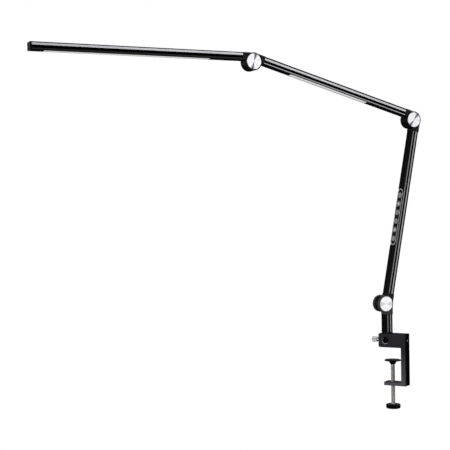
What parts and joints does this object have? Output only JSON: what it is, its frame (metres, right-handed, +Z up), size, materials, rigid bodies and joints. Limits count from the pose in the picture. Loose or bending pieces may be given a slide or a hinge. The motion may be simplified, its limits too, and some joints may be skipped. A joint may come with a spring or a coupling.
{
  "type": "clamp-on LED swing-arm lamp",
  "caption": "Black clamp-on LED desk lamp: slim aluminium light bars folding on drum hinges with silver caps, over a swivelling stub and a C-clamp for a table edge.",
  "frame": {"origin": "on the desk plane, at the rubber under the clamp's upper block, where the swivel axis crosses it", "axes": "+Z up along the swivel axis, +X towards the clamp's post, -Y out of the clamp's front face"},
  "size_m": [0.4605, 0.693, 0.7016],
  "materials": {
    "anodised": "black anodised extrusion, satin, with bright reflections along its edges",
    "fitting": "satin black paint on a die-cast hinge fitting",
    "cast": "matt black powder coat",
    "silver": "spun, circular brushed",
    "steel": "zinc plated",
    "plastic": "moulded black plastic",
    "panel": "black moulded panel with a grey edge line",
    "button": "dark grey push button",
    "rubber": "black anti-slip rubber",
    "diffuser": "frosted white light diffuser",
    "board": "white circuit board",
    "nylon": "natural nylon"
  },
  "bodies": {
    "clamp": {"clamp_frame": "cast", "desk_rubber": "rubber", "side_set_screw": "steel"},
    "pressure_pad": {"pad_plate": "plastic", "pad_rubber": "rubber"},
    "clamp_screw": {"clamp_screw": "steel", "hand_knob": "plastic"},
    "thumb_plug": {"thumb_plug": "nylon"},
    "thumb_screw": {"thumb_screw": "silver"},
    "stub": {"stub_tube": "anodised", "stub_blank": "plastic", "swivel_pin": "cast", "cable_grommet": "rubber", "stub_fork": "fitting", "lower_hinge_bolt": "steel", "lower_hinge_nut": "steel", "lower_hinge_cap_front": "silver", "lower_hinge_cap_rear": "plastic", "lower_hinge_washer_front": "plastic", "lower_hinge_washer_rear": "plastic"},
    "lower_arm": {"lower_arm_tube": "anodised", "lower_arm_tongue": "fitting", "lower_arm_fork": "fitting", "button_panel": "panel", "button_board": "board", "lower_arm_blank_low": "plastic", "lower_arm_blank_high": "plastic", "middle_hinge_bolt": "steel", "middle_hinge_nut": "steel", "middle_hinge_cap_front": "silver", "middle_hinge_cap_rear": "plastic", "middle_hinge_washer_front": "plastic", "middle_hinge_washer_rear": "plastic"},
    "middle_arm": {"middle_arm_tube": "anodised", "middle_arm_tongue": "fitting", "middle_arm_fork": "fitting", "middle_arm_led_board": "board", "middle_arm_diffuser": "diffuser", "middle_arm_blank_low": "plastic", "middle_arm_blank_high": "plastic", "head_hinge_bolt": "steel", "head_hinge_nut": "steel", "head_hinge_cap_front": "silver", "head_hinge_cap_rear": "plastic", "head_hinge_washer_front": "plastic", "head_hinge_washer_rear": "plastic"},
    "head": {"head_tongue": "fitting", "head_tube": "anodised", "head_led_board": "board", "head_diffuser": "diffuser", "head_blank_near": "plastic", "head_blank_far": "plastic", "head_end_cap": "plastic"},
    "button_1": {"button_1": "button"},
    "button_2": {"button_2": "button"},
    "button_3": {"button_3": "button"},
    "button_4": {"button_4": "button"},
    "button_5": {"button_5": "button"},
    "button_6": {"button_6": "button"}
  },
  "joints": [
    {"name": "base_swivel", "type": "hinge", "parent": "clamp", "child": "stub", "pos_m": [0, 0, 0.028], "axis": [0, 0, 1], "continuous": true},
    {"name": "lower_hinge", "type": "hinge", "parent": "stub", "child": "lower_arm", "pos_m": [-0.00517, -0.00797, 0.0883], "axis": [0.8387, -0.5446, 0], "range_deg": [-15, 110]},
    {"name": "middle_hinge", "type": "hinge", "parent": "lower_arm", "child": "middle_arm", "pos_m": [0.03481, 0.05361, 0.4591], "axis": [-0.8387, 0.5446, 0], "range_deg": [-86.5, 85.5]},
    {"name": "head_hinge", "type": "hinge", "parent": "middle_arm", "child": "head", "pos_m": [-0.16338, -0.25158, 0.56139], "axis": [0.8387, -0.5446, 0], "range_deg": [-15.8, 132]},
    {"name": "pad_travel", "type": "slide", "parent": "clamp", "child": "pressure_pad", "axis": [0, 0, 1], "range_m": [-0.0336, 0.0244]},
    {"name": "clamp_screw_spin", "type": "hinge", "parent": "pressure_pad", "child": "clamp_screw", "pos_m": [0.011, 0, -0.05], "axis": [0, 0, 1], "range_deg": [-9688.8, 7039.2]},
    {"name": "thumb_plug_travel", "type": "slide", "parent": "clamp", "child": "thumb_plug", "axis": [-1, 0, 0], "range_m": [0, 0.004]},
    {"name": "thumb_screw_spin", "type": "hinge", "parent": "thumb_plug", "child": "thumb_screw", "pos_m": [-0.02, 0, 0.0145], "axis": [-1, 0, 0], "range_deg": [0, 1812]},
    {"name": "button_1_press", "type": "slide", "parent": "lower_arm", "child": "button_1", "axis": [0.5343, 0.8227, -0.1942], "range_m": [0, 0.0006], "stiffness_N_per_m": 400},
    {"name": "button_2_press", "type": "slide", "parent": "lower_arm", "child": "button_2", "axis": [0.5343, 0.8227, -0.1942], "range_m": [0, 0.0006], "stiffness_N_per_m": 400},
    {"name": "button_3_press", "type": "slide", "parent": "lower_arm", "child": "button_3", "axis": [0.5343, 0.8227, -0.1942], "range_m": [0, 0.0006], "stiffness_N_per_m": 400},
    {"name": "button_4_press", "type": "slide", "parent": "lower_arm", "child": "button_4", "axis": [0.5343, 0.8227, -0.1942], "range_m": [0, 0.0006], "stiffness_N_per_m": 400},
    {"name": "button_5_press", "type": "slide", "parent": "lower_arm", "child": "button_5", "axis": [0.5343, 0.8227, -0.1942], "range_m": [0, 0.0006], "stiffness_N_per_m": 400},
    {"name": "button_6_press", "type": "slide", "parent": "lower_arm", "child": "button_6", "axis": [0.5343, 0.8227, -0.1942], "range_m": [0, 0.0006], "stiffness_N_per_m": 400}
  ],
  "couplings": [
    {"joint": "clamp_screw_spin", "follows": "pad_travel", "rad_per_m": 5026.5},
    {"joint": "thumb_screw_spin", "follows": "thumb_plug_travel", "rad_per_m": 7854}
  ]
}
